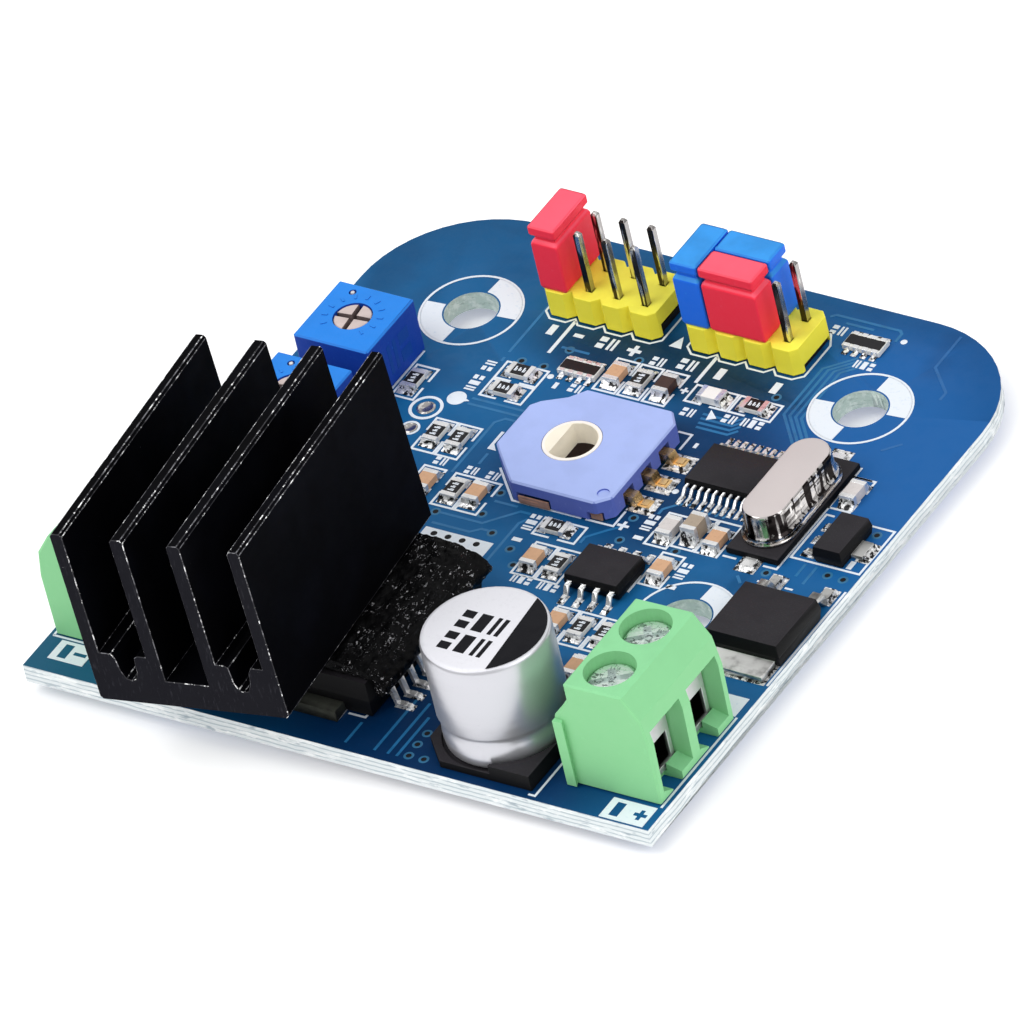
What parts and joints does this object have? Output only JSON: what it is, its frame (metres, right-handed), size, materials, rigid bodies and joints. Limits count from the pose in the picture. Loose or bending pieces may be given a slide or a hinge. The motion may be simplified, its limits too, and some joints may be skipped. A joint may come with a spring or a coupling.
{
  "type": "servo driver board",
  "caption": "Small motor control board with a through-shaft position sensor, finned heat sink, wire terminals, jumper headers and trimmers.",
  "frame": {"origin": "centre of the board's underside", "axes": "+Z out of the component side, +Y towards the rounded end with the pin headers, +X towards the supply terminal"},
  "size_m": [0.056, 0.063, 0.0235],
  "materials": {
    "solder_mask_blue": "satin",
    "black_anodised": "black anodised",
    "black_mould": "matte",
    "tin": "tin plated",
    "can_metal": "satin",
    "zinc": "zinc plated",
    "terminal_green": "satin",
    "header_yellow": "satin",
    "jumper_red": "satin",
    "jumper_blue": "satin",
    "trimmer_blue": "satin",
    "rotor_cream": "matte",
    "sensor_lavender": "matte",
    "copper": "bare",
    "track_brown": "matte",
    "rubber_seal": "matte",
    "foil_roll": "matte"
  },
  "bodies": {
    "board_assembly": {"board": "solder_mask_blue", "heat_sink": "black_anodised", "thermal_adhesive": "black_mould", "driver_chip": "black_mould", "controller_chip": "black_mould", "amplifier_chip": "black_mould", "regulator": "black_mould", "transistor": "black_mould", "capacitor_can": "can_metal", "capacitor_base": "black_mould", "capacitor_seal": "rubber_seal", "capacitor_winding": "foil_roll", "crystal_can": "can_metal", "crystal_base": "black_mould", "sensor_housing": "sensor_lavender", "sensor_track": "track_brown", "header_base_input": "header_yellow", "header_base_mode": "header_yellow", "header_pin_input_1": "tin", "header_pin_input_2": "tin", "header_pin_input_3": "tin", "header_pin_input_4": "tin", "header_pin_input_5": "tin", "header_pin_input_6": "tin", "header_pin_input_7": "tin", "header_pin_input_8": "tin", "header_pin_mode_1": "tin", "header_pin_mode_2": "tin", "header_pin_mode_3": "tin", "header_pin_mode_4": "tin", "header_pin_mode_5": "tin", "header_pin_mode_6": "tin", "header_pin_mode_7": "tin", "header_pin_mode_8": "tin", "terminal_housing_supply": "terminal_green", "terminal_contact_supply_1": "tin", "terminal_contact_supply_2": "tin", "terminal_housing_motor": "terminal_green", "terminal_contact_motor_1": "tin", "terminal_contact_motor_2": "tin", "trimmer_a_body": "trimmer_blue", "trimmer_a_element": "track_brown", "trimmer_b_body": "trimmer_blue", "trimmer_b_element": "track_brown"},
    "sensor_turning_part": {"sensor_rotor": "rotor_cream", "sensor_wiper": "copper"},
    "trimmer_a_dial": {"trimmer_a_rotor": "rotor_cream"},
    "trimmer_b_dial": {"trimmer_b_rotor": "rotor_cream"},
    "clamp_screw_supply_1": {"terminal_screw_supply_1": "zinc"},
    "clamp_cage_supply_1": {"terminal_cage_supply_1": "zinc"},
    "clamp_screw_supply_2": {"terminal_screw_supply_2": "zinc"},
    "clamp_cage_supply_2": {"terminal_cage_supply_2": "zinc"},
    "clamp_screw_motor_1": {"terminal_screw_motor_1": "zinc"},
    "clamp_cage_motor_1": {"terminal_cage_motor_1": "zinc"},
    "clamp_screw_motor_2": {"terminal_screw_motor_2": "zinc"},
    "clamp_cage_motor_2": {"terminal_cage_motor_2": "zinc"},
    "shunt_input": {"jumper_input": "jumper_red"},
    "shunt_mode_side": {"jumper_mode_side": "jumper_blue"},
    "shunt_mode_back": {"jumper_mode_back": "jumper_blue"},
    "shunt_mode_front": {"jumper_mode_front": "jumper_red"}
  },
  "joints": [
    {"name": "sensor_turn", "type": "hinge", "parent": "board_assembly", "child": "sensor_turning_part", "pos_m": [0, 0.0057, 0.0016], "axis": [0, 0, 1], "continuous": true},
    {"name": "trimmer_a_turn", "type": "hinge", "parent": "board_assembly", "child": "trimmer_a_dial", "pos_m": [-0.0218, 0.0098, 0.0026], "axis": [0, 0, 1], "range_deg": [-130, 130]},
    {"name": "trimmer_b_turn", "type": "hinge", "parent": "board_assembly", "child": "trimmer_b_dial", "pos_m": [-0.0218, 0.001, 0.0026], "axis": [0, 0, 1], "range_deg": [-130, 130]},
    {"name": "screw_supply_1_turn", "type": "hinge", "parent": "board_assembly", "child": "clamp_screw_supply_1", "pos_m": [0.0235, -0.02362, 0.00955], "axis": [0, 0, -1], "range_deg": [0, 1330]},
    {"name": "cage_supply_1_rise", "type": "slide", "parent": "board_assembly", "child": "clamp_cage_supply_1", "axis": [0, 0, 1], "range_m": [0, 0.00184]},
    {"name": "screw_supply_2_turn", "type": "hinge", "parent": "board_assembly", "child": "clamp_screw_supply_2", "pos_m": [0.0235, -0.01854, 0.00955], "axis": [0, 0, -1], "range_deg": [0, 1330]},
    {"name": "cage_supply_2_rise", "type": "slide", "parent": "board_assembly", "child": "clamp_cage_supply_2", "axis": [0, 0, 1], "range_m": [0, 0.00184]},
    {"name": "screw_motor_1_turn", "type": "hinge", "parent": "board_assembly", "child": "clamp_screw_motor_1", "pos_m": [-0.0234, -0.02244, 0.00955], "axis": [0, 0, -1], "range_deg": [0, 1330]},
    {"name": "cage_motor_1_rise", "type": "slide", "parent": "board_assembly", "child": "clamp_cage_motor_1", "axis": [0, 0, 1], "range_m": [0, 0.00184]},
    {"name": "screw_motor_2_turn", "type": "hinge", "parent": "board_assembly", "child": "clamp_screw_motor_2", "pos_m": [-0.0234, -0.01736, 0.00955], "axis": [0, 0, -1], "range_deg": [0, 1330]},
    {"name": "cage_motor_2_rise", "type": "slide", "parent": "board_assembly", "child": "clamp_cage_motor_2", "axis": [0, 0, 1], "range_m": [0, 0.00184]},
    {"name": "jumper_input_pull", "type": "slide", "parent": "board_assembly", "child": "shunt_input", "axis": [0, 0, 1], "range_m": [0, 0.007]},
    {"name": "jumper_mode_side_pull", "type": "slide", "parent": "board_assembly", "child": "shunt_mode_side", "axis": [0, 0, 1], "range_m": [0, 0.007]},
    {"name": "jumper_mode_back_pull", "type": "slide", "parent": "board_assembly", "child": "shunt_mode_back", "axis": [0, 0, 1], "range_m": [0, 0.007]},
    {"name": "jumper_mode_front_pull", "type": "slide", "parent": "board_assembly", "child": "shunt_mode_front", "axis": [0, 0, 1], "range_m": [0, 0.007]}
  ],
  "couplings": [
    {"joint": "screw_supply_1_turn", "follows": "cage_supply_1_rise", "rad_per_m": 12566},
    {"joint": "screw_supply_2_turn", "follows": "cage_supply_2_rise", "rad_per_m": 12566},
    {"joint": "screw_motor_1_turn", "follows": "cage_motor_1_rise", "rad_per_m": 12566},
    {"joint": "screw_motor_2_turn", "follows": "cage_motor_2_rise", "rad_per_m": 12566}
  ]
}
